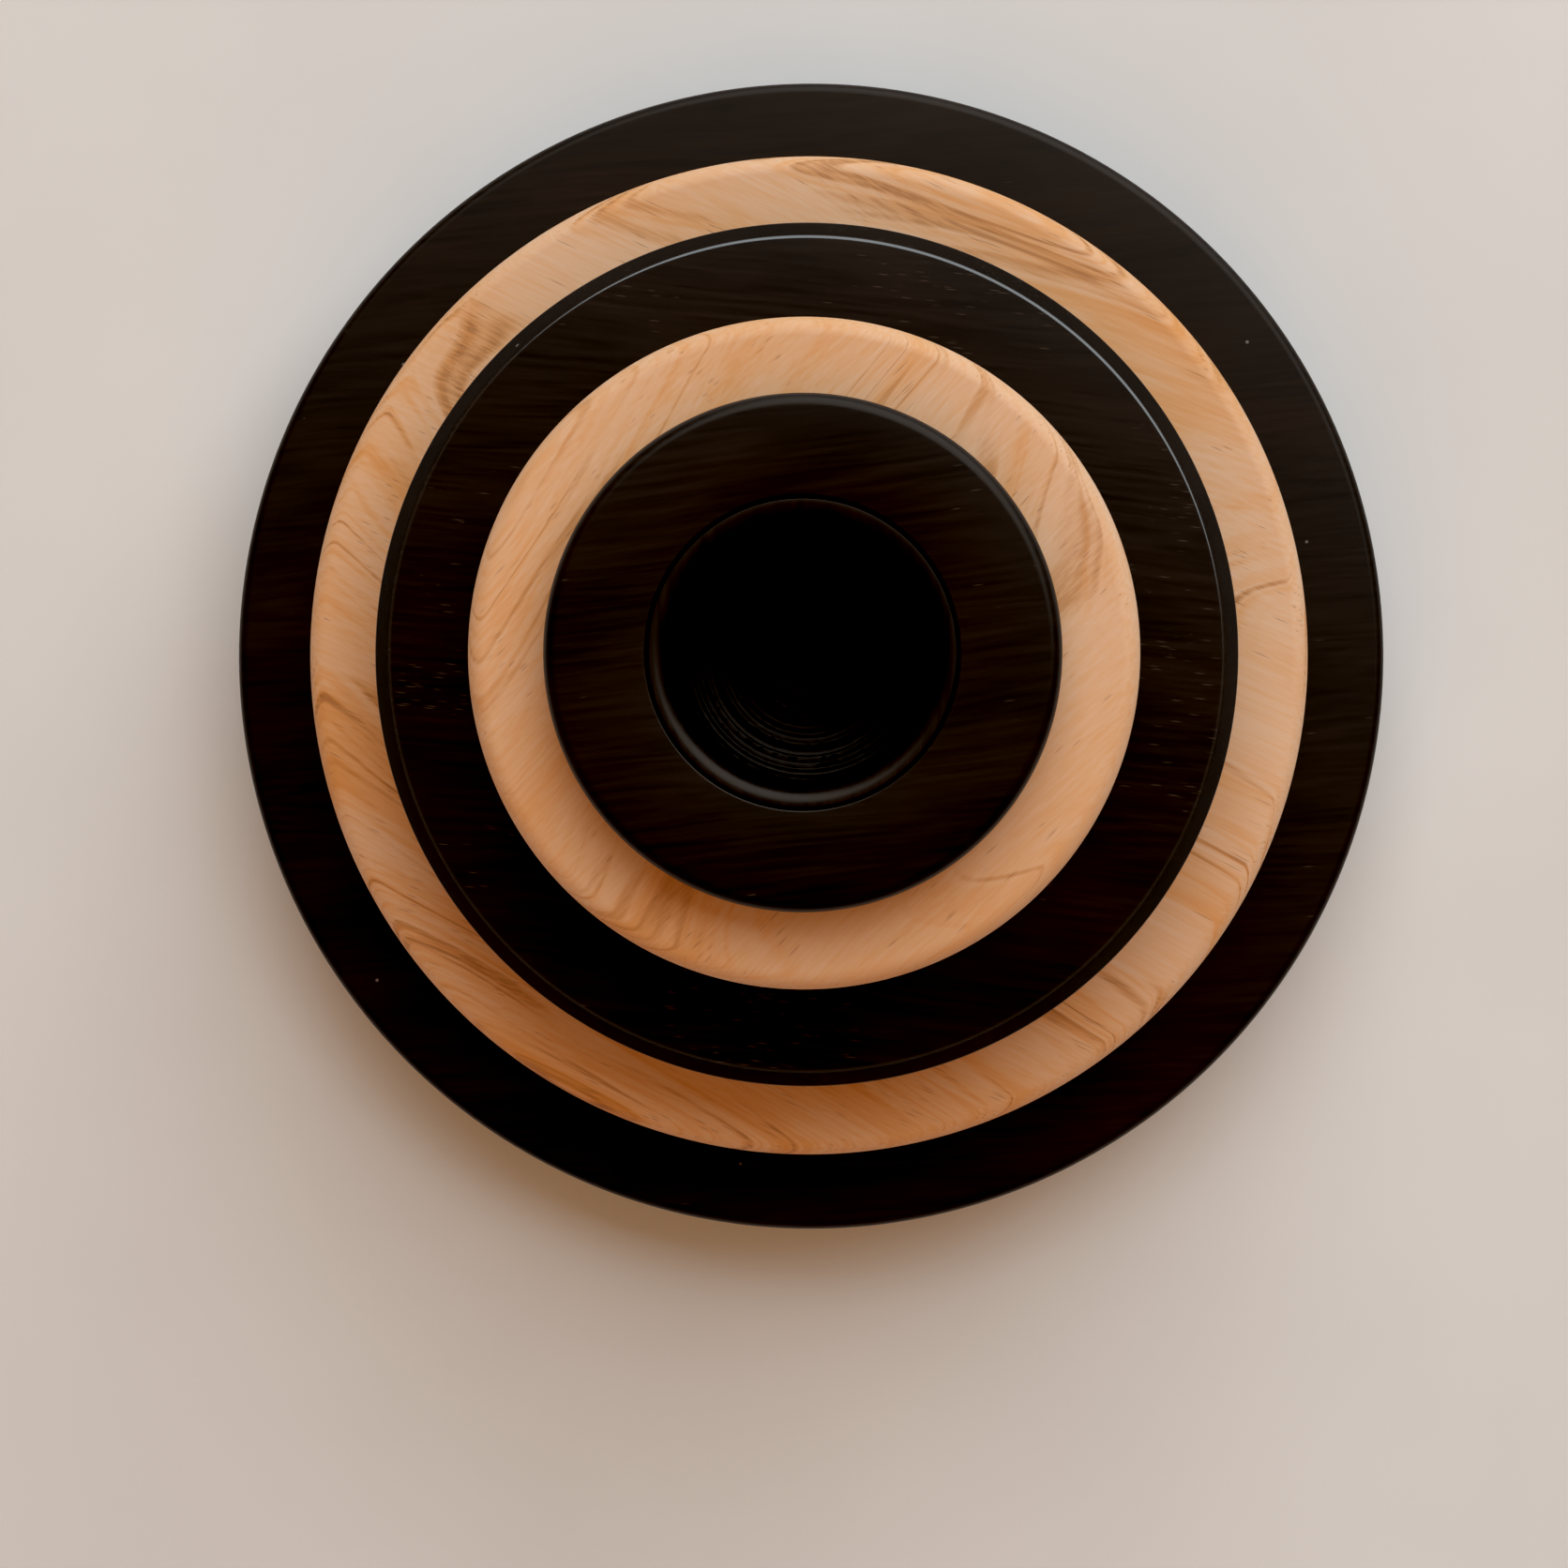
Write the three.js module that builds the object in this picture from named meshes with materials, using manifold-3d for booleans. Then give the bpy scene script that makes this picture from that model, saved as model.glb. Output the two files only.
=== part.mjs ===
// A stacking tower puzzle: a round base plate with a hollow post, and four loose discs
// that lift off the post. Millimetres, +Z up, the origin on the table under the axis.

import * as THREE from 'three';
import { mergeVertices } from 'three/addons/utils/BufferGeometryUtils.js';
import Module from 'manifold-3d';

const wasm = await Module();
wasm.setup();

// Driving dimensions.

const SEGMENTS = 48; // facets round each turned piece

// Lists run from the bottom disc to the top one.
const DISC_RADII = [54.4, 45.2, 33.5, 25.3];
const DISC_THICKNESSES = [16, 16, 16, 7];
const DISC_BORE_RADIUS = 15.3;
// A top edge reaches in from the rim by its width and down from the face by its drop. With
// one facet it is a chamfer, and with more it is a round-over.
const DISC_TOP_EDGES = [
  { width: 2, drop: 2, facets: 3 },
  { width: 1.7, drop: 3, facets: 1 },
  { width: 2, drop: 2, facets: 3 },
  { width: 1.3, drop: 1.3, facets: 3 },
];
const DISC_BOTTOM_ROUND = 1.4;
const DISC_BORE_ROUND = 0.2;

const BASE_RADIUS = 65;
const BASE_THICKNESS = 16;
const BASE_TOP_ROUND = 1.2;
const BASE_BOTTOM_ROUND = 1.6;

const PAD_COUNT = 4;
const PAD_RADIUS = 8;
const PAD_HEIGHT = 3;
const PAD_CIRCLE_RADIUS = 50;
const PAD_ROUND = 0.5;

const CLEARANCE = 0.3; // all round a piece that sits in another one's hole

const POST_RADIUS = DISC_BORE_RADIUS - CLEARANCE;
const POST_HOLE_RADIUS = 13.3;
const POST_TOP_DROP = 0.3; // from the top disc's face down to the top of the post
const POST_FLOOR_DROP = 37; // from the top disc's face down to the floor of the post's hole
const POST_MOUTH_ROUND = 1.4; // the round-over inside the post's rim
const POST_EDGE_BREAK = 0.2; // the chamfer outside it
const SOCKET_DEPTH = 4; // how far the post stands in the base plate

const SCREW_RADIUS = 2;
const SCREW_HEAD_RADIUS = 4;
const SCREW_HEAD_HEIGHT = 2.6;
const SCREW_HEAD_CROWN = 1.2; // how much lower the head's rim stands than its crown
const SCREW_REACH = 14; // length of the shank inside the post
const SCREW_TIP = 2.5; // length of the pointed end
const PILOT_SPARE = 2; // how far the post's pilot hole runs past the screw's tip
const RECESS_LENGTH = 4.2; // across the cross recess
const RECESS_WIDTH = 1;
const RECESS_DEPTH = 1.5;

const WASHER_RADIUS = 5.6;
const WASHER_HEIGHT = 1;
const COUNTERBORE_RADIUS = 6.3;
const COUNTERBORE_DEPTH = 6;

// Levels along the axis.

const BASE_BOTTOM = PAD_HEIGHT;
const BASE_TOP = BASE_BOTTOM + BASE_THICKNESS;
const TOWER_TOP = discUnderside(DISC_THICKNESSES.length);
const POST_BOTTOM = BASE_TOP - SOCKET_DEPTH;
const POST_TOP = TOWER_TOP - POST_TOP_DROP;
const POST_FLOOR = TOWER_TOP - POST_FLOOR_DROP;
const COUNTERBORE_TOP = BASE_BOTTOM + COUNTERBORE_DEPTH;
const WASHER_BOTTOM = COUNTERBORE_TOP - WASHER_HEIGHT;
const SCREW_TOP = POST_BOTTOM + SCREW_REACH;
const SCREW_HOLE_RADIUS = SCREW_RADIUS + CLEARANCE;

// The level of a disc's underside, which is the top of all that is stacked under it.
function discUnderside(index) {
  const below = DISC_THICKNESSES.slice(0, index);
  return below.reduce((level, thickness) => level + thickness, BASE_TOP);
}

const material = (color, roughness, metalness = 0) =>
  new THREE.MeshStandardMaterial({ color, roughness, metalness });

const BLACK_WOOD = material(0x17120f, 0.45);
const NATURAL_WOOD = material(0xc99768, 0.55);
const STEEL = material(0xb8b9bc, 0.35, 1);
const FELT = material(0x2b2826, 0.95);

// A quarter circle in the profile plane, from one angle to the other, in degrees.
function roundOver(centreRadius, centreZ, round, fromDegrees, toDegrees, steps) {
  const points = [];
  for (let i = 0; i <= steps; i += 1) {
    const degrees = fromDegrees + ((toDegrees - fromDegrees) * i) / steps;
    const angle = THREE.MathUtils.degToRad(degrees);
    const radius = centreRadius + round * Math.cos(angle);
    points.push(new THREE.Vector2(radius, centreZ + round * Math.sin(angle)));
  }
  return points;
}

const at = (radius, z) => new THREE.Vector2(radius, z);

// Turns a profile of (radius, height) points about the Z axis.
function turned(points) {
  const geometry = new THREE.LatheGeometry(points, SEGMENTS);
  geometry.rotateX(Math.PI / 2);
  return geometry;
}

function piece(name, geometry, finish) {
  const mesh = new THREE.Mesh(geometry, finish);
  mesh.name = name;
  return mesh;
}

// A closed geometry as a manifold solid.
function solidFrom(geometry) {
  const bare = geometry.clone();
  bare.deleteAttribute('normal');
  bare.deleteAttribute('uv');
  const merged = mergeVertices(bare);
  const vertProperties = new Float32Array(merged.attributes.position.array);
  const triVerts = new Uint32Array(merged.index.array);
  return new wasm.Manifold(new wasm.Mesh({ numProp: 3, vertProperties, triVerts }));
}

function geometryFrom(solid) {
  const mesh = solid.getMesh();
  const geometry = new THREE.BufferGeometry();
  geometry.setAttribute('position', new THREE.BufferAttribute(mesh.vertProperties, 3));
  geometry.setIndex(new THREE.BufferAttribute(mesh.triVerts, 1));
  geometry.computeVertexNormals();
  return geometry;
}

// A disc's top edge, from its rim up to its top face.
function topEdge(radius, top, edge) {
  const quarter = roundOver(0, 0, 1, 0, 90, edge.facets);
  const inner = radius - edge.width;
  return quarter.map((p) => at(inner + edge.width * p.x, top + edge.drop * (p.y - 1)));
}

// A loose disc with eased rims and a bore for the post. Its underside is at height zero.
function discGeometry(radius, top, edge) {
  const boreEdge = DISC_BORE_RADIUS + DISC_BORE_ROUND;
  const rimBottom = [radius - DISC_BOTTOM_ROUND, DISC_BOTTOM_ROUND, DISC_BOTTOM_ROUND];
  const profile = [
    ...roundOver(...rimBottom, -90, 0, 2),
    ...topEdge(radius, top, edge),
    ...roundOver(boreEdge, top - DISC_BORE_ROUND, DISC_BORE_ROUND, 90, 180, 1),
    ...roundOver(boreEdge, DISC_BORE_ROUND, DISC_BORE_ROUND, 180, 270, 1),
    at(radius - DISC_BOTTOM_ROUND, 0),
  ];
  return turned(profile);
}

// The base plate: a socket for the post in its top, a screw hole, and a counterbore below.
function basePlateGeometry() {
  const socketRadius = POST_RADIUS + CLEARANCE;
  const rimTop = [BASE_RADIUS - BASE_TOP_ROUND, BASE_TOP - BASE_TOP_ROUND, BASE_TOP_ROUND];
  const rimBottomRadius = BASE_RADIUS - BASE_BOTTOM_ROUND;
  const rimBottom = [rimBottomRadius, BASE_BOTTOM + BASE_BOTTOM_ROUND, BASE_BOTTOM_ROUND];
  const profile = [
    ...roundOver(...rimBottom, -90, 0, 2),
    ...roundOver(...rimTop, 0, 90, 3),
    at(socketRadius, BASE_TOP),
    at(socketRadius, POST_BOTTOM),
    at(SCREW_HOLE_RADIUS, POST_BOTTOM),
    at(SCREW_HOLE_RADIUS, COUNTERBORE_TOP),
    at(COUNTERBORE_RADIUS, COUNTERBORE_TOP),
    at(COUNTERBORE_RADIUS, BASE_BOTTOM),
    at(rimBottomRadius, BASE_BOTTOM),
  ];
  return turned(profile);
}

// The post: a turned rod with a deep flat-bottomed hole from above and a pilot hole from below.
function postGeometry() {
  const mouthEdge = POST_HOLE_RADIUS + POST_MOUTH_ROUND;
  const mouthZ = POST_TOP - POST_MOUTH_ROUND;
  const pilotTop = SCREW_TOP + PILOT_SPARE;
  const profile = [
    at(0, pilotTop),
    at(SCREW_HOLE_RADIUS, pilotTop),
    at(SCREW_HOLE_RADIUS, POST_BOTTOM),
    at(POST_RADIUS, POST_BOTTOM),
    at(POST_RADIUS, POST_TOP - POST_EDGE_BREAK),
    at(POST_RADIUS - POST_EDGE_BREAK, POST_TOP),
    ...roundOver(mouthEdge, mouthZ, POST_MOUTH_ROUND, 90, 180, 3),
    at(POST_HOLE_RADIUS, POST_FLOOR),
    at(0, POST_FLOOR),
  ];
  return turned(profile);
}

// The screw, head down, with a cross recess in its head.
function screwGeometry() {
  const headBottom = WASHER_BOTTOM - SCREW_HEAD_HEIGHT;
  const blank = turned([
    at(0, headBottom),
    at(SCREW_HEAD_RADIUS / 2, headBottom),
    at(SCREW_HEAD_RADIUS, headBottom + SCREW_HEAD_CROWN),
    at(SCREW_HEAD_RADIUS, WASHER_BOTTOM),
    at(SCREW_RADIUS, WASHER_BOTTOM),
    at(SCREW_RADIUS, SCREW_TOP - SCREW_TIP),
    at(0, SCREW_TOP),
  ]);
  const slot = new THREE.BoxGeometry(RECESS_LENGTH, RECESS_WIDTH, 2 * RECESS_DEPTH);
  slot.translate(0, 0, headBottom);
  const crossSlot = slot.clone().rotateZ(Math.PI / 2);
  const cross = solidFrom(slot).add(solidFrom(crossSlot));
  return geometryFrom(solidFrom(blank).subtract(cross));
}

function washerGeometry() {
  return turned([
    at(SCREW_HOLE_RADIUS, WASHER_BOTTOM),
    at(WASHER_RADIUS, WASHER_BOTTOM),
    at(WASHER_RADIUS, COUNTERBORE_TOP),
    at(SCREW_HOLE_RADIUS, COUNTERBORE_TOP),
    at(SCREW_HOLE_RADIUS, WASHER_BOTTOM),
  ]);
}

// A felt pad that stands on the table.
function padGeometry() {
  return turned([
    at(0, 0),
    at(PAD_RADIUS - PAD_ROUND, 0),
    at(PAD_RADIUS, PAD_ROUND),
    at(PAD_RADIUS, PAD_HEIGHT),
    at(0, PAD_HEIGHT),
  ]);
}

function padOnCircle(index) {
  const angle = (2 * Math.PI * index) / PAD_COUNT;
  const mesh = piece(`felt_pad_${index + 1}`, padGeometry(), FELT);
  mesh.position.set(PAD_CIRCLE_RADIUS * Math.cos(angle), PAD_CIRCLE_RADIUS * Math.sin(angle), 0);
  return mesh;
}

function discOnTower(radius, index) {
  const natural = index % 2 === 0;
  const name = `disc_${index + 1}_${natural ? 'natural' : 'black'}`;
  const geometry = discGeometry(radius, DISC_THICKNESSES[index], DISC_TOP_EDGES[index]);
  const mesh = piece(name, geometry, natural ? NATURAL_WOOD : BLACK_WOOD);
  mesh.position.z = discUnderside(index);
  return mesh;
}

const tower = new THREE.Group();
tower.add(piece('base_plate', basePlateGeometry(), BLACK_WOOD));
tower.add(piece('post', postGeometry(), BLACK_WOOD));
tower.add(piece('post_screw', screwGeometry(), STEEL));
tower.add(piece('screw_washer', washerGeometry(), STEEL));
for (let index = 0; index < PAD_COUNT; index += 1) {
  tower.add(padOnCircle(index));
}
DISC_RADII.forEach((radius, index) => tower.add(discOnTower(radius, index)));

export default tower;
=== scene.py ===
"""Looks for a stacking tower puzzle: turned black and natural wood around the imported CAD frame."""

import math
import random

import bmesh
import bpy
from mathutils import Matrix, Vector, noise


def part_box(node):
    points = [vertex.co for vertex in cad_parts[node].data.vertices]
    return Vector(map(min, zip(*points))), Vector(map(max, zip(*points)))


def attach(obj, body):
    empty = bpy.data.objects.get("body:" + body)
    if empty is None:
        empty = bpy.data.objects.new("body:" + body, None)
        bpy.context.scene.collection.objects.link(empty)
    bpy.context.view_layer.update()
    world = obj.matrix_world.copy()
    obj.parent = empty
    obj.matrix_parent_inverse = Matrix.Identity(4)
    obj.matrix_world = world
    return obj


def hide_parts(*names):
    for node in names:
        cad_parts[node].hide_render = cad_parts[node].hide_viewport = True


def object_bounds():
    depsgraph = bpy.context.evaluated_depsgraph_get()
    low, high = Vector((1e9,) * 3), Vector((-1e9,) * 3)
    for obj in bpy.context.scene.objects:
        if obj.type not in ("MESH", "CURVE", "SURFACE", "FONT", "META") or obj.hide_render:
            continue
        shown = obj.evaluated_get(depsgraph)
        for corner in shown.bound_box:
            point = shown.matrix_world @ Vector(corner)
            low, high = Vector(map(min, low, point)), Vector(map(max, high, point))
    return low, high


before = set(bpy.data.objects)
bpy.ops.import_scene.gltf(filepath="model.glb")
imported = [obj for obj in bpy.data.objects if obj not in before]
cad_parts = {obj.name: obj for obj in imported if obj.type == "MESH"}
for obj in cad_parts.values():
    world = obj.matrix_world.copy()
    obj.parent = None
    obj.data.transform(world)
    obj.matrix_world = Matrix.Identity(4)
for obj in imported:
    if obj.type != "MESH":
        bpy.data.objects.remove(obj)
cad_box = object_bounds()

MM = 0.001
TURN = 2 * math.pi

# Facets round each turned piece, and steps in each rounded rim.
SEGMENTS = 288
RIM_STEPS = 14

EDGE_BREAK = 0.2 * MM  # the softened edge where a CAD edge is square
FINE_BREAK = 0.06 * MM  # the same at the top of the post, which is all but sharp
ARRIS = 0.6 * MM  # the rounding of a chamfer's two edges
SHARP_OVER = 35  # edges that bend more than this, in degrees, are shaded as sharp

# How near a CAD vertex must be to a level, and to the axis, to count as on it.
LEVEL_NEARNESS = 0.05 * MM
AXIS_NEARNESS = 0.01 * MM
ON_AXIS = 1e-7
CHAMFER_STEEPNESS = 1.2  # a top edge that drops more than this times its width is a chamfer

# The floor of the post's hole: marks of the bit that drilled it.
GROOVE_SEED = 11
GROOVE_PITCH = (0.3 * MM, 0.85 * MM)
GROOVE_DEPTH = (0.02 * MM, 0.09 * MM)
BIT_RIM = (0.55 * MM, 0.4 * MM)  # width and depth of the groove round the floor
BIT_SPUR = (1.3 * MM, 1.6 * MM)  # radius and depth of the pit at its centre
TORN_GRAIN = 0.03 * MM  # how far the torn wood of the floor stands up
TORN_SCALE = 1400  # noise cells in a metre
TORN_STRETCH = 2.5  # finer across the grain than along it
TORN_MARGIN = 0.1 * MM  # a ring next to the hole's wall that is left smooth

# The felt pads: their lower edge's rounding, and the unevenness of their outline.
PAD_SEGMENTS = 96
PAD_ROUND = 0.5 * MM
PAD_SCALE = 900
PAD_UNEVENNESS = 0.012

# The table's inner rings, the radius at which it turns up into a backdrop, and the backdrop's
# curve and height, in metres.
FLOOR_RINGS = (0.3, 1.2)
FLOOR_RADIUS = 1.8
BACKDROP_ROUND = 2.6
BACKDROP_HEIGHT = 4.0
BACKDROP_STEPS = 12
FLOOR_SEGMENTS = 96

# The lights. A direction is an azimuth and an elevation, in degrees.
LIGHT_DISTANCE = 1.8
LIGHT_SIZE = 2.2
WINDOW_DIRECTION = (71, 42)
WINDOW_WATTS = 45
WINDOW_COLOUR = (0.81, 0.93, 1.0)
WARM_ROOM_DIRECTION = (262, 70)
WARM_ROOM_WATTS = 12
WARM_ROOM_COLOUR = (1.0, 0.47, 0.17)
WORLD_COLOUR = (1.0, 0.72, 0.5, 1)
WORLD_STRENGTH = 0.17

# The light level that prints as black, as in a contrasty photograph.
BLACK_LEVEL = (0.007, 0.007, 0.007)

# The camera stands over the tower, a little off its axis, and looks down past it.
CAMERA_ABOVE_BASE = 384 * MM
CAMERA_PLACE = (4.7 * MM, -3.9 * MM)
CAMERA_AIM = (-2.85 * MM, -14.2 * MM)
SENSOR_WIDTH = 36  # in millimetres, as the lens is
LENS = 77.8
NEAR_CLIP = 0.01

# The wood, in millimetres.
MM_PER_METRE = 1000
RING_PITCH = 5.2
WARP = 8  # how far the grain wanders

# The polished line along a chamfer's upper edge, and the matt face below it: how far in from
# the rim each one starts and ends, in millimetres.
POLISH_INNER = (2.1, 1.95)
POLISH_OUTER = (1.8, 1.7)
MATT_INNER = (1.72, 1.6)
MATT_OUTER = (0.15, 0.02)
MATT_ROUGHNESS = 0.65


# ---------------------------------------------------------------- frame measures


def node_vertices(node):
    return [v.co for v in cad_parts[node].data.vertices]


def bore_radius(node):
    """Radius of the straight hole through a node."""
    return min(math.hypot(p.x, p.y) for p in node_vertices(node))


def radii_at(node, height):
    """The radii of a node's turned edges at one height, smallest first."""
    near = [p for p in node_vertices(node) if abs(p.z - height) < LEVEL_NEARNESS]
    return sorted({round(math.hypot(p.x, p.y), 5) for p in near})


def heights_on_axis(node):
    """Where a node's turned profile meets its axis, lowest first."""
    on_axis = [p for p in node_vertices(node) if math.hypot(p.x, p.y) < AXIS_NEARNESS]
    return sorted({round(p.z, 5) for p in on_axis})


# ---------------------------------------------------------------- mesh building


def arc(radius, height, round_by, start, end, steps=RIM_STEPS):
    """Points of a rounded rim, from one angle to the other, in degrees."""
    points = []
    for i in range(steps + 1):
        angle = math.radians(start + (end - start) * i / steps)
        points.append((radius + round_by * math.cos(angle), height + round_by * math.sin(angle)))
    return points


def straight(start, end, steps):
    """Points from start up to, and without, end."""
    return [
        (start[0] + (end[0] - start[0]) * i / steps, start[1] + (end[1] - start[1]) * i / steps)
        for i in range(steps)
    ]


def lathe(name, profile, segments=SEGMENTS, closed=True, centre=(0, 0), shape=None):
    """A turned mesh. A profile point on the axis becomes one vertex. shape moves each vertex."""
    mesh = bmesh.new()
    rings = []
    for radius, height in profile:
        if radius < ON_AXIS:
            rings.append([mesh.verts.new((0, 0, height))])
            continue
        ring = []
        for i in range(segments):
            angle = TURN * i / segments
            point = Vector((radius * math.cos(angle), radius * math.sin(angle), height))
            ring.append(mesh.verts.new(shape(point) if shape else point))
        rings.append(ring)
    pairs = list(zip(rings, rings[1:]))
    if closed:
        pairs.append((rings[-1], rings[0]))
    for low, high in pairs:
        join_rings(mesh, low, high, segments)
    bmesh.ops.recalc_face_normals(mesh, faces=mesh.faces)
    bmesh.ops.translate(mesh, verts=mesh.verts, vec=(centre[0], centre[1], 0))
    return finished(name, mesh)


def join_rings(mesh, low, high, segments):
    """Faces between two rings of a turned mesh, either of which may be one vertex."""
    for i in range(segments):
        j = (i + 1) % segments
        corners = [low[i % len(low)], low[j % len(low)], high[j % len(high)], high[i % len(high)]]
        unique = list(dict.fromkeys(corners))
        if len(unique) > 2:
            mesh.faces.new(unique)


def finished(name, mesh):
    """The mesh as an object in the scene, shaded smooth but for its sharp edges."""
    data = bpy.data.meshes.new(name)
    mesh.to_mesh(data)
    mesh.free()
    data.shade_smooth()
    data.set_sharp_from_angle(angle=math.radians(SHARP_OVER))
    piece = bpy.data.objects.new(name, data)
    bpy.context.scene.collection.objects.link(piece)
    return piece


def place(piece, body, slot, material, *nodes):
    """Gives a piece its material and its body, and hides the CAD nodes it stands for. The slot is
    not used.
    """
    piece.data.materials.clear()
    piece.data.materials.append(material)
    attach(piece, body)
    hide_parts(*nodes)


# ---------------------------------------------------------------- node helpers


class Graph:
    """A material's node tree, written as nested calls that return sockets."""

    def __init__(self, name):
        self.material = bpy.data.materials.new(name)
        self.material.use_nodes = True
        self.tree = self.material.node_tree
        self.tree.nodes.clear()

    def add(self, kind, inputs=None, **settings):
        node = self.tree.nodes.new(kind)
        for key, value in settings.items():
            setattr(node, key, value)
        for key, value in (inputs or {}).items():
            if isinstance(value, bpy.types.NodeSocket):
                self.tree.links.new(value, node.inputs[key])
            else:
                node.inputs[key].default_value = value
        return node

    def math(self, operation, a, b=0.0, clamp=False):
        node = self.add("ShaderNodeMath", {0: a, 1: b}, operation=operation, use_clamp=clamp)
        return node.outputs[0]

    def vector(self, operation, a, b=(0, 0, 0), output=0):
        node = self.add("ShaderNodeVectorMath", {0: a, 1: b}, operation=operation)
        return node.outputs[output]

    def remap(self, value, low, high, new_low=0.0, new_high=1.0):
        inputs = {0: value, 1: low, 2: high, 3: new_low, 4: new_high}
        return self.add("ShaderNodeMapRange", inputs, clamp=True).outputs[0]

    def band(self, value, edge, inner, outer):
        """One between two distances in from an edge, and zero outside them."""
        rise = self.remap(value, edge - inner[0], edge - inner[1])
        fall = self.remap(value, edge - outer[0], edge - outer[1], 1, 0)
        return self.math("MULTIPLY", rise, fall)

    def mix(self, factor, a, b):
        node = self.add("ShaderNodeMix", data_type="RGBA", blend_type="MIX")
        for index, value in ((0, factor), (6, a), (7, b)):
            if isinstance(value, bpy.types.NodeSocket):
                self.tree.links.new(value, node.inputs[index])
            else:
                node.inputs[index].default_value = value
        return node.outputs[2]

    def noise(self, vector, detail, roughness=0.5, distortion=0.0):
        inputs = {"Vector": vector, "Scale": 1, "Detail": detail}
        inputs.update({"Roughness": roughness, "Distortion": distortion})
        return self.add("ShaderNodeTexNoise", inputs)

    def flecks(self, vector, channel, chance, near, far):
        """Spots at the centres of random cells: chance is the share of cells that have one."""
        cells = self.add("ShaderNodeTexVoronoi", {"Vector": vector, "Scale": 1, "Randomness": 1})
        colour = self.add("ShaderNodeSeparateColor", {0: cells.outputs["Color"]})
        chosen = self.math("LESS_THAN", colour.outputs[channel], chance)
        return self.math("MULTIPLY", chosen, self.remap(cells.outputs["Distance"], near, far, 1, 0))

    def ramp(self, factor, stops):
        node = self.add("ShaderNodeValToRGB", {0: factor})
        elements = node.color_ramp.elements
        while len(elements) < len(stops):
            elements.new(0.5)
        for element, (position, colour) in zip(elements, stops):
            element.position = position
            element.color = colour
        return node.outputs[0]

    def millimetres(self, turn=0.0, tip=0.0, shift=(0, 0, 0)):
        """The piece's own coordinates in millimetres, with X turned along the grain."""
        coordinates = self.add("ShaderNodeTexCoord").outputs["Object"]
        flat = self.add(
            "ShaderNodeMapping",
            {"Vector": coordinates, "Rotation": (0, 0, -turn), "Scale": (MM_PER_METRE,) * 3},
        )
        tipped = self.add(
            "ShaderNodeMapping",
            {"Vector": flat.outputs[0], "Rotation": (0, tip, 0), "Location": shift},
        )
        return tipped.outputs[0]

    def scaled(self, vector, x, y, z):
        return self.vector("MULTIPLY", vector, (x, y, z))

    def wandering(self, vector, across):
        """The coordinates bent a little, so that the grain wanders."""
        drift = self.noise(self.scaled(vector, 0.012, across, across), detail=2).outputs["Color"]
        drift = self.vector("SUBTRACT", drift, (0.5, 0.5, 0.5))
        return self.vector("ADD", vector, self.scaled(drift, 0, WARP, WARP))

    def bump(self, height, distance, strength):
        inputs = {"Height": height, "Distance": distance, "Strength": strength}
        return self.add("ShaderNodeBump", inputs).outputs[0]

    def surface(self, **inputs):
        named = {key.replace("_", " "): value for key, value in inputs.items()}
        shader = self.add("ShaderNodeBsdfPrincipled", named)
        output = self.add("ShaderNodeOutputMaterial")
        self.tree.links.new(shader.outputs[0], output.inputs[0])
        return self.material


def grey(value):
    return (value, value, value, 1)


# ---------------------------------------------------------------- materials


def grain_lines(g, p, along, across, width):
    """Thin lines that follow the grain: where a stretched noise passes through its middle."""
    field = g.noise(g.scaled(p, along, across, across), detail=2, roughness=0.55).outputs[0]
    away = g.math("ABSOLUTE", g.math("SUBTRACT", field, 0.5))
    return g.remap(away, width * 0.2, width, 1, 0)


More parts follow.
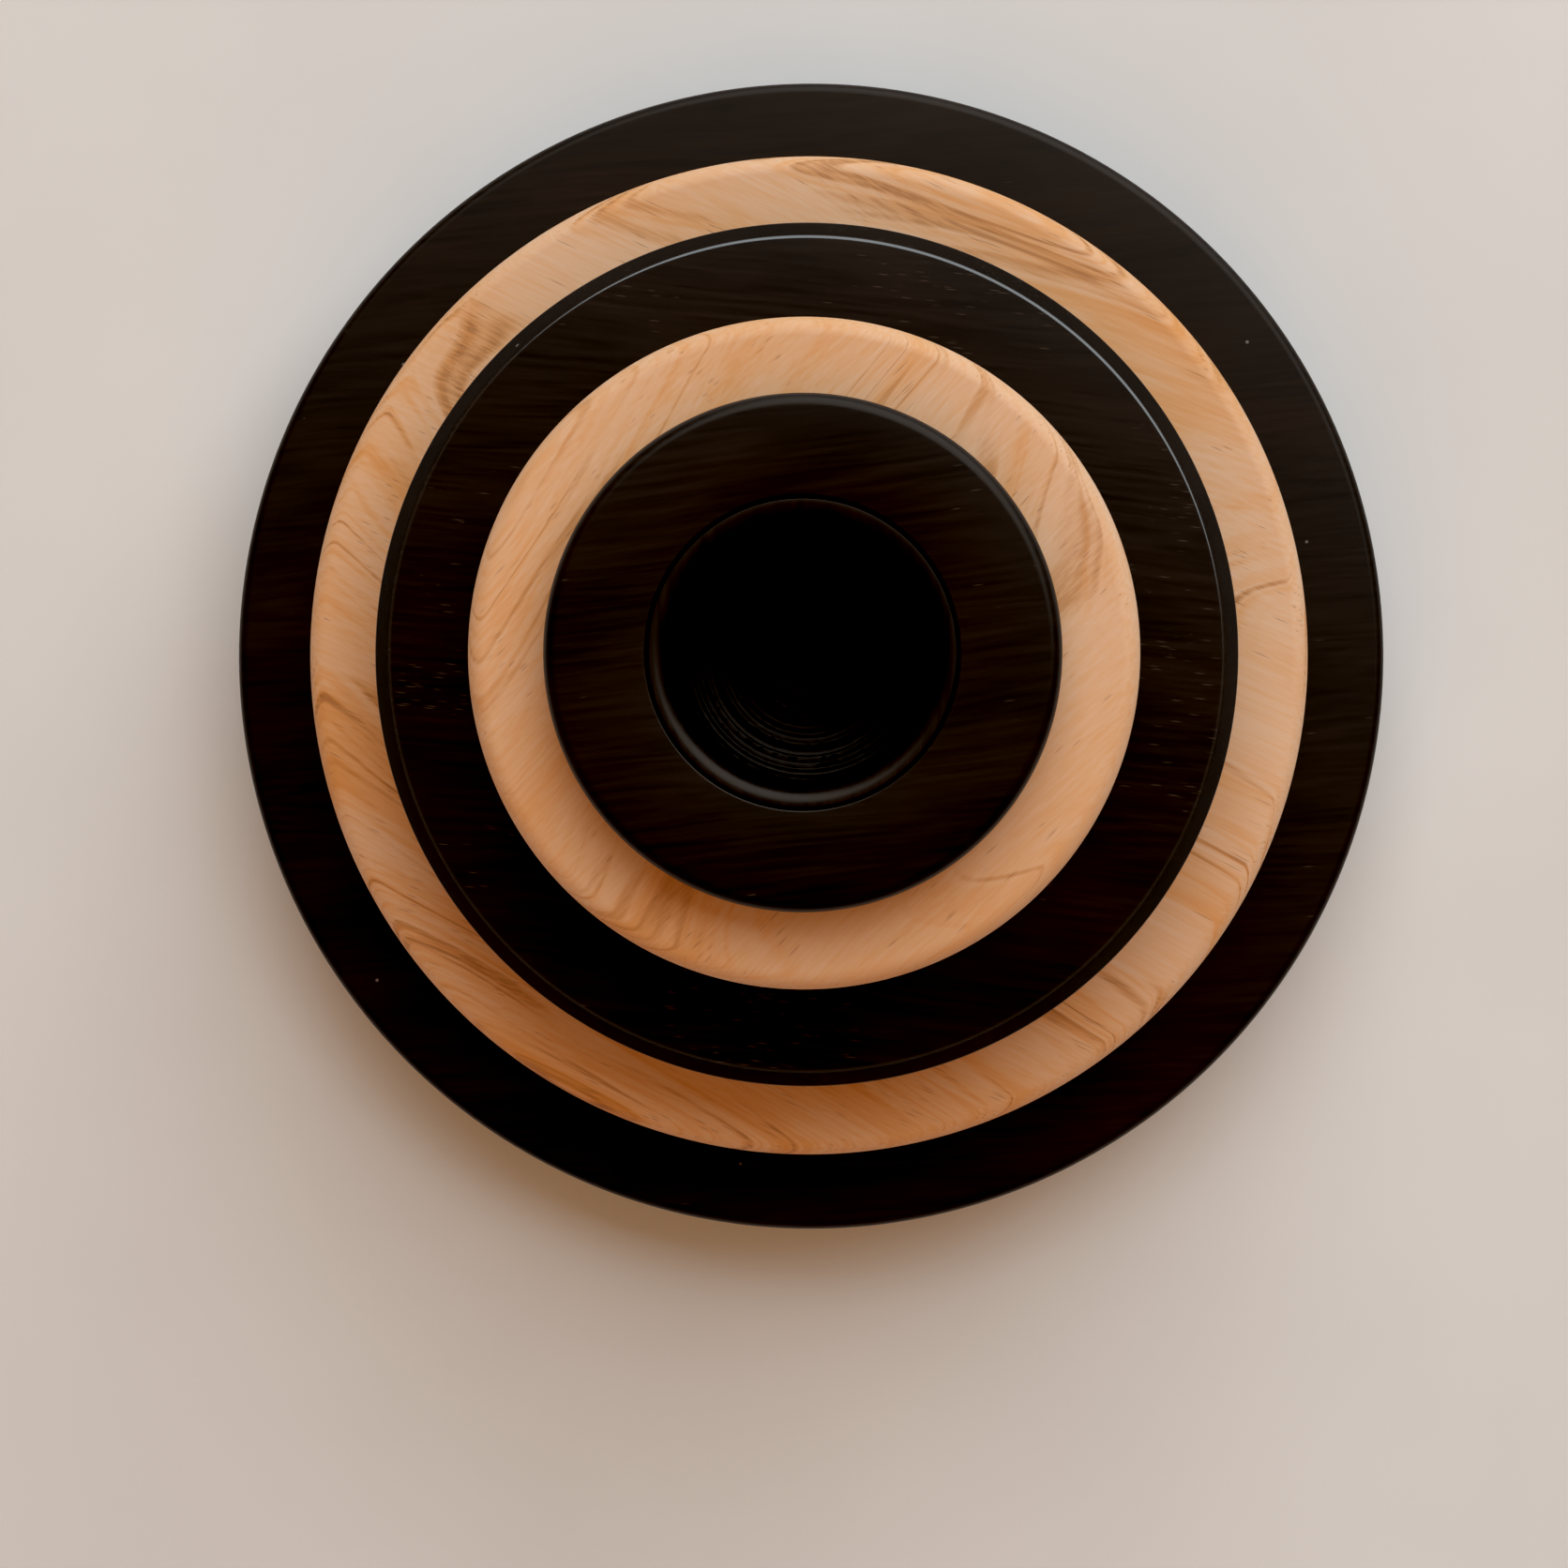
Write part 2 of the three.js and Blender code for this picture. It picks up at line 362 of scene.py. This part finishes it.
def natural_wood(name, turn, tip, shift, pith, heartwood_and_shade, figure):
    """Pale peach wood with brown grain lines in groups and short fine pores.

    turn and tip lay the trunk's axis, in degrees. pith is where that axis lies beside and
    below the piece. The two heartwood distances from it, in millimetres, are where the wood turns
    from pale sapwood to orange. On the first disc they are also set so that the wood runs darker
    and more orange towards its lower left, where the tower's shade falls, so this is partly painted
    shade. figure is the strength of the grain lines.
    """
    g = Graph(name)
    p = g.millimetres(math.radians(turn), math.radians(tip), shift)

    warped = g.wandering(p, 0.03)

    from_pith = g.scaled(g.vector("SUBTRACT", warped, (0, pith[0], pith[1])), 0, 1, 1)
    radius = g.vector("LENGTH", from_pith, output=1)
    along = g.add("ShaderNodeSeparateXYZ", {0: warped}).outputs[0]
    rings = g.add("ShaderNodeCombineXYZ", {0: along, 1: radius}).outputs[0]
    late = g.ramp(
        g.math("FRACT", g.math("DIVIDE", radius, RING_PITCH)),
        [(0, grey(0)), (0.6, grey(0.05)), (0.88, grey(0.4)), (0.96, grey(1)), (1, grey(0))],
    )
    year = g.noise(g.scaled(warped, 0.01, 0.1, 0.1), detail=2).outputs[0]
    late = g.math("MULTIPLY", late, g.remap(year, 0.42, 0.6, 0.1, 1.0))

    group = g.noise(g.scaled(warped, 0.018, 0.09, 0.09), detail=2).outputs[0]
    bold = grain_lines(g, rings, 0.008, 0.42, 0.022)
    bold = g.math("MULTIPLY", bold, g.remap(group, 0.46, 0.58))
    thin = grain_lines(g, rings, 0.022, 1.1, 0.06)
    thin = g.math("MULTIPLY", thin, g.remap(group, 0.4, 0.6, 0.2, 1))

    fibre = g.noise(g.scaled(warped, 0.05, 2.6, 2.6), detail=5, roughness=0.62).outputs[0]
    cloud = g.noise(g.scaled(warped, 0.016, 0.06, 0.06), detail=3).outputs[0]
    band = g.noise(g.scaled(rings, 0.014, 0.16, 0), detail=3, roughness=0.6).outputs[0]

    tone = g.math("MULTIPLY", late, 0.2 * figure)
    tone = g.math("ADD", tone, g.math("MULTIPLY", bold, 0.22 * figure))
    tone = g.math("ADD", tone, g.math("MULTIPLY", thin, 0.13 * figure))
    tone = g.math("ADD", tone, g.remap(fibre, 0.3, 0.7, -0.07, 0.08))
    tone = g.math("ADD", tone, g.remap(cloud, 0.35, 0.65, -0.05, 0.06))
    # Heartwood tone, darker with distance from the pith. On the first disc it also darkens the lower
    # left, where the tower's shade falls: partly painted shade.
    tone = g.math("ADD", tone, g.remap(radius, heartwood_and_shade[0], heartwood_and_shade[1], 0.0, 0.18))
    tone = g.math("ADD", tone, g.remap(band, 0.54, 0.7, 0, 0.2 * figure), clamp=True)
    colour = g.ramp(
        tone,
        [
            (0.0, (0.74, 0.50, 0.335, 1)),
            (0.3, (0.70, 0.345, 0.14, 1)),
            (0.6, (0.63, 0.245, 0.048, 1)),
            (1.0, (0.32, 0.1, 0.018, 1)),
        ],
    )

    streak = g.math("MULTIPLY", bold, g.remap(fibre, 0.42, 0.56, 0.15, 0.55 * figure))
    colour = g.mix(streak, colour, (0.25, 0.1, 0.038, 1))

    pore_chance = g.remap(group, 0.42, 0.62, 0.04, 0.4 * figure)
    pore = g.flecks(g.scaled(warped, 0.15, 3.4, 3.4), 0, pore_chance, 0.1, 0.34)
    colour = g.mix(g.math("MULTIPLY", pore, 0.42), colour, (0.25, 0.11, 0.045, 1))

    height = g.math("SUBTRACT", g.math("MULTIPLY", fibre, 0.35), pore)
    rough = g.math("ADD", g.remap(fibre, 0.3, 0.7, 0.44, 0.56), g.math("MULTIPLY", pore, 0.2))
    return g.surface(
        Base_Color=colour,
        Roughness=rough,
        Specular_IOR_Level=0.35,
        Normal=g.bump(height, 0.00004, 0.5),
    )


def black_wood(name, turn, shift, roughness, wear, rim=None):
    """Black stained wood: satin, with the grain just showing, fine scratches and dust.

    wear is how scratched it is. A rim radius, in millimetres, is for a piece with a chamfer: it
    gets a polished line along the chamfer's upper edge and a matt face below it.
    """
    g = Graph(name)
    p = g.millimetres(math.radians(turn), 0, shift)
    warped = g.wandering(p, 0.05)

    fibre = g.noise(g.scaled(warped, 0.08, 1.7, 1.7), detail=5, roughness=0.6).outputs[0]
    cloud = g.noise(g.scaled(warped, 0.04, 0.1, 0.1), detail=3).outputs[0]
    tone = g.math("ADD", g.remap(fibre, 0.35, 0.7, 0, 0.6), g.remap(cloud, 0.4, 0.65, 0, 0.4))
    colour = g.mix(tone, (0.0022, 0.0013, 0.0009, 1), (0.011, 0.0058, 0.0034, 1))

    patch = g.noise(g.scaled(p, 0.06, 0.09, 0.09), detail=3).outputs[0]
    mark_chance = g.remap(patch, 0.46, 0.72, 0, wear)
    mark = g.flecks(g.scaled(p, 0.4, 4.6, 4.6), 1, mark_chance, 0.05, 0.3)
    colour = g.mix(g.math("MULTIPLY", mark, 0.7), colour, (0.075, 0.052, 0.036, 1))

    dust = g.flecks(g.scaled(p, 0.16, 0.16, 0.16), 2, 0.1, 0.015, 0.04)
    colour = g.mix(g.math("MULTIPLY", dust, 0.6), colour, (0.3, 0.27, 0.25, 1))

    rough = g.remap(fibre, 0.3, 0.7, roughness - 0.03, roughness + 0.05)
    rough = g.math("ADD", rough, g.math("MULTIPLY", mark, 0.15))
    polish = 0.0
    if rim:
        flat = g.vector("SUBTRACT", g.scaled(p, 1, 1, 0), (shift[0], shift[1], 0))
        from_axis = g.vector("LENGTH", flat, output=1)
        polish = g.band(from_axis, rim, POLISH_INNER, POLISH_OUTER)
        matt = g.band(from_axis, rim, MATT_INNER, MATT_OUTER)
        rough = g.math("ADD", rough, g.math("MULTIPLY", matt, MATT_ROUGHNESS))
    return g.surface(
        Base_Color=colour,
        Roughness=g.math("ADD", rough, g.math("MULTIPLY", dust, 0.4)),
        IOR=1.25,
        Specular_IOR_Level=0.78,
        Specular_Tint=(1.0, 0.8, 0.67, 1),
        Coat_Weight=polish,
        Coat_Roughness=0.14,
        Coat_IOR=1.7,
        Normal=g.bump(fibre, 0.00001, 0.4),
    )


def zinc_steel(name):
    """Zinc plated steel with a fine even grain and a patchy spangle."""
    g = Graph(name)
    p = g.millimetres()
    grain = g.noise(g.scaled(p, 6, 6, 6), detail=4, roughness=0.6).outputs[0]
    spangle = g.noise(g.scaled(p, 0.9, 0.9, 0.9), detail=2).outputs[0]
    colour = g.mix(g.remap(spangle, 0.35, 0.65), (0.42, 0.43, 0.45, 1), (0.58, 0.57, 0.53, 1))
    return g.surface(
        Base_Color=colour,
        Metallic=1.0,
        Roughness=g.remap(grain, 0.3, 0.7, 0.24, 0.42),
        Normal=g.bump(grain, 0.00002, 0.4),
    )


def felt(name):
    """Dark pressed felt with matted fibres."""
    g = Graph(name)
    p = g.millimetres()
    swirl = g.noise(g.scaled(p, 1.4, 1.4, 1.4), detail=5, roughness=0.7, distortion=1.6).outputs[0]
    fleck = g.noise(g.scaled(p, 7, 7, 7), detail=3, roughness=0.7).outputs[0]
    colour = g.mix(g.remap(swirl, 0.35, 0.65), (0.018, 0.016, 0.015, 1), (0.05, 0.046, 0.042, 1))
    colour = g.mix(g.remap(fleck, 0.6, 0.75, 0, 0.5), colour, (0.11, 0.1, 0.095, 1))
    height = g.math("ADD", swirl, g.math("MULTIPLY", fleck, 0.5))
    return g.surface(
        Base_Color=colour,
        Roughness=g.remap(fleck, 0.3, 0.7, 0.85, 1.0),
        Specular_IOR_Level=0.2,
        Sheen_Weight=0.35,
        Sheen_Roughness=0.5,
        Normal=g.bump(height, 0.0002, 0.8),
    )


def table_top(name):
    """A pale matt table top with a faint mottle."""
    g = Graph(name)
    p = g.millimetres()
    mottle = g.noise(g.scaled(p, 0.02, 0.02, 0.02), detail=3).outputs[0]
    colour = g.mix(g.remap(mottle, 0.3, 0.7), (0.70, 0.695, 0.685, 1), (0.74, 0.735, 0.725, 1))
    return g.surface(Base_Color=colour, Roughness=0.62, Specular_IOR_Level=0.25)


# ---------------------------------------------------------------- pieces


def rim_rounds(node):
    """A turned piece's rim radius, and how far in its top and bottom edges are eased."""
    low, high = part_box(node)
    rim = high.x
    return rim, rim - radii_at(node, high.z)[-1], rim - radii_at(node, low.z)[-1]


def chamfer(rim, top, width, drop):
    """A flat chamfer from a rim up to a top face, with its two edges barely softened."""
    slope = math.degrees(math.atan2(drop, width))
    side_lead = ARRIS * math.tan(math.radians(90 - slope) / 2)
    face_lead = ARRIS * math.tan(math.radians(slope) / 2)
    return [
        *arc(rim - ARRIS, top - drop - side_lead, ARRIS, 0, 90 - slope, 5),
        *arc(rim - width - face_lead, top - ARRIS, ARRIS, 90 - slope, 90, 8),
    ]


def rim_profile(node):
    """The outside of a turned piece, from its underside round to its top face."""
    low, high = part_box(node)
    rim, top_width, bottom_round = rim_rounds(node)
    on_rim = [p.z for p in node_vertices(node) if math.hypot(p.x, p.y) > rim - EDGE_BREAK]
    drop = high.z - max(on_rim)
    if drop > top_width * CHAMFER_STEEPNESS:
        top_edge = chamfer(rim, high.z, top_width, drop)
    else:
        top_edge = arc(rim - top_width, high.z - top_width, top_width, 0, 90)
    return [*arc(rim - bottom_round, low.z + bottom_round, bottom_round, -90, 0), *top_edge]


def build_disc(node, body, slot, material):
    low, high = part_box(node)
    bore = bore_radius(node)
    mouth = radii_at(node, high.z)[0]
    bore_round = mouth - bore
    profile = [
        *rim_profile(node),
        *arc(mouth, high.z - bore_round, bore_round, 90, 180, 6),
        *arc(mouth, low.z + bore_round, bore_round, 180, 270, 6),
    ]
    place(lathe("turned_" + node, profile), body, slot, material, node)


def build_base(material):
    low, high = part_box("base_plate")
    socket = radii_at("base_plate", high.z)[0]
    socket_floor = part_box("post")[0].z
    screw_hole = bore_radius("base_plate")
    counterbore = radii_at("base_plate", low.z)[0]
    counterbore_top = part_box("screw_washer")[1].z
    profile = [
        *rim_profile("base_plate"),
        *arc(socket + EDGE_BREAK, high.z - EDGE_BREAK, EDGE_BREAK, 90, 180, 3),
        (socket, socket_floor),
        (screw_hole, socket_floor),
        (screw_hole, counterbore_top),
        (counterbore, counterbore_top),
        *arc(counterbore + EDGE_BREAK, low.z + EDGE_BREAK, EDGE_BREAK, 180, 270, 3),
    ]
    place(lathe("turned_base_plate", profile), "stand", "black_wood", material, "base_plate")


def drilled_floor(radius, height):
    """The floor of the post's hole, from its wall to the axis, with the drill bit's marks."""
    draw = random.Random(GROOVE_SEED)
    rim_width, rim_depth = BIT_RIM
    spur_radius, spur_depth = BIT_SPUR
    points = [
        (radius, height - rim_depth * 0.8),
        (radius - rim_width * 0.35, height - rim_depth),
        (radius - rim_width * 0.7, height - rim_depth * 0.4),
        (radius - rim_width, height),
    ]
    at = radius - rim_width
    while at > spur_radius + GROOVE_PITCH[1]:
        width = draw.uniform(*GROOVE_PITCH)
        depth = draw.uniform(*GROOVE_DEPTH)
        lean = draw.uniform(0.25, 0.75)
        points.append((at - width * lean * 0.5, height - depth * 0.75))
        points.append((at - width * lean, height - depth))
        points.append((at - width, height - depth * draw.uniform(0, 0.3)))
        at -= width
    points += [(spur_radius, height), (0, height - spur_depth)]
    return points


def build_post(material):
    low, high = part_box("post")
    pilot_top, floor = heights_on_axis("post")
    pilot = radii_at("post", low.z)[0]
    hole = radii_at("post", floor)[-1]
    mouth = radii_at("post", high.z)[0]
    mouth_round = mouth - hole
    rim = high.x

    def torn(point):
        """Roughens only the floor of the hole."""
        if math.hypot(point.x, point.y) > hole - TORN_MARGIN or point.z < pilot_top:
            return point
        lift = noise.noise(Vector((point.x, point.y * TORN_STRETCH, 0)) * TORN_SCALE)
        return point + Vector((0, 0, TORN_GRAIN * lift))

    profile = [
        (0, pilot_top),
        (pilot, pilot_top),
        (pilot, low.z),
        *arc(rim - EDGE_BREAK, low.z + EDGE_BREAK, EDGE_BREAK, -90, 0, 3),
        *arc(rim - FINE_BREAK, high.z - FINE_BREAK, FINE_BREAK, 0, 90, 4),
        *arc(mouth, high.z - mouth_round, mouth_round, 90, 180),
        *drilled_floor(hole, floor),
    ]
    piece = lathe("turned_post", profile, closed=False, shape=torn)
    place(piece, "stand", "black_wood", material, "post")


def build_pad(node, material):
    low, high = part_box(node)
    centre = (low + high) / 2
    radius = (high.x - low.x) / 2
    edge = radius - PAD_ROUND
    side_foot = low.z + PAD_ROUND

    def matted(point):
        lump = noise.noise((point + centre) * PAD_SCALE)
        inward = 1 - PAD_UNEVENNESS * (1 + lump)
        return Vector((point.x * inward, point.y * inward, point.z))

    profile = [
        (0, low.z),
        *straight((radius * 0.2, low.z), (edge, low.z), 6),
        *arc(edge, side_foot, PAD_ROUND, -90, 0, 5),
        *straight((radius, side_foot), (radius, high.z), 6)[1:],
        (radius, high.z),
        (0, high.z),
    ]
    piece = lathe("felt_" + node, profile, PAD_SEGMENTS, False, (centre.x, centre.y), matted)
    place(piece, "stand", "felt", material, node)


# ---------------------------------------------------------------- stage


def area_light(name, direction, power, colour, glossy=True):
    """A square soft light that stands in a direction and faces the tower."""
    azimuth, elevation = (math.radians(angle) for angle in direction)
    data = bpy.data.lights.new(name, "AREA")
    data.shape = "SQUARE"
    data.size = LIGHT_SIZE
    data.energy = power
    data.color = colour
    light = bpy.data.objects.new(name, data)
    bpy.context.scene.collection.objects.link(light)
    towards = Vector(
        (
            math.cos(elevation) * math.cos(azimuth),
            math.cos(elevation) * math.sin(azimuth),
            math.sin(elevation),
        )
    )
    light.location = towards * LIGHT_DISTANCE
    light.rotation_euler = towards.to_track_quat("Z", "Y").to_euler()
    light.visible_glossy = glossy
    light.visible_camera = False


def build_floor():
    """A pale table that runs on far out and turns up into a backdrop."""
    level = cad_box[0][2]
    profile = [(0, level), *((radius, level) for radius in FLOOR_RINGS)]
    profile += arc(
        FLOOR_RADIUS, level + BACKDROP_ROUND, BACKDROP_ROUND, -90, 0, BACKDROP_STEPS
    )
    profile.append((FLOOR_RADIUS + BACKDROP_ROUND, level + BACKDROP_HEIGHT))
    floor = lathe("table", profile, FLOOR_SEGMENTS, closed=False)
    floor.data.materials.append(table_top("pale_table"))


def build_world():
    world = bpy.data.worlds.new("room")
    world.use_nodes = True
    background = world.node_tree.nodes["Background"]
    background.inputs["Color"].default_value = WORLD_COLOUR
    background.inputs["Strength"].default_value = WORLD_STRENGTH
    bpy.context.scene.world = world


def build_camera():
    base_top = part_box("base_plate")[1].z
    data = bpy.data.cameras.new("camera")
    data.sensor_width = SENSOR_WIDTH
    data.lens = LENS
    data.clip_start = NEAR_CLIP
    camera = bpy.data.objects.new("camera", data)
    bpy.context.scene.collection.objects.link(camera)
    camera.location = (*CAMERA_PLACE, base_top + CAMERA_ABOVE_BASE)
    aim = Vector((*CAMERA_AIM, base_top))
    back = (camera.location - aim).normalized()
    right = Vector((0, 1, 0)).cross(back).normalized()
    up = back.cross(right)
    camera.rotation_euler = matrix_of(right, up, back).to_euler()
    bpy.context.scene.camera = camera


def matrix_of(right, up, back):
    return Matrix((right, up, back)).transposed()


def build_stage():
    build_floor()
    build_world()
    area_light("window", WINDOW_DIRECTION, WINDOW_WATTS, WINDOW_COLOUR)
    area_light("warm_room", WARM_ROOM_DIRECTION, WARM_ROOM_WATTS, WARM_ROOM_COLOUR, glossy=False)
    settings = bpy.context.scene.view_settings
    settings.view_transform = "Standard"
    settings.look = "None"
    settings.use_curve_mapping = True
    settings.curve_mapping.black_level = BLACK_LEVEL
    settings.curve_mapping.update()


build_camera()
build_stage()

base_black = black_wood("black_base", 4, (0, 0, 0), 0.38, 0.02)
post_black = black_wood("black_post", 90, (31, 7, 12), 0.36, 0.02)
chamfered_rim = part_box("disc_2_black")[1].x / MM
low_black = black_wood("black_disc_2", -6, (140, 60, 0), 0.32, 0.62, chamfered_rim)
top_black = black_wood("black_disc_4", 8, (-90, 35, 5), 0.34, 0.04)
# The pith and heartwood distances here make the wood darker and more orange at the disc's lower
# left, where the tower's shade falls: partly painted shade.
low_natural = natural_wood(
    "natural_disc_1",
    turn=-25,
    tip=4,
    shift=(20, 0, 0),
    pith=(14, -48),
    heartwood_and_shade=(60, 92),
    figure=1.0,
)
top_natural = natural_wood(
    "natural_disc_3",
    turn=45,
    tip=7,
    shift=(-60, 0, -40),
    pith=(-24, -46),
    heartwood_and_shade=(52, 76),
    figure=0.55,
)

build_base(base_black)
build_post(post_black)
build_disc("disc_1_natural", "disc_1", "natural_wood", low_natural)
build_disc("disc_2_black", "disc_2", "black_wood", low_black)
build_disc("disc_3_natural", "disc_3", "natural_wood", top_natural)
build_disc("disc_4_black", "disc_4", "black_wood", top_black)

felt_look = felt("dark_felt")
for pad_name in [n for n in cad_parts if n.startswith("felt_pad")]:
    build_pad(pad_name, felt_look)

steel_look = zinc_steel("zinc_steel")
for steel_name in ("post_screw", "screw_washer"):
    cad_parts[steel_name].data.materials.clear()
    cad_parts[steel_name].data.materials.append(steel_look)
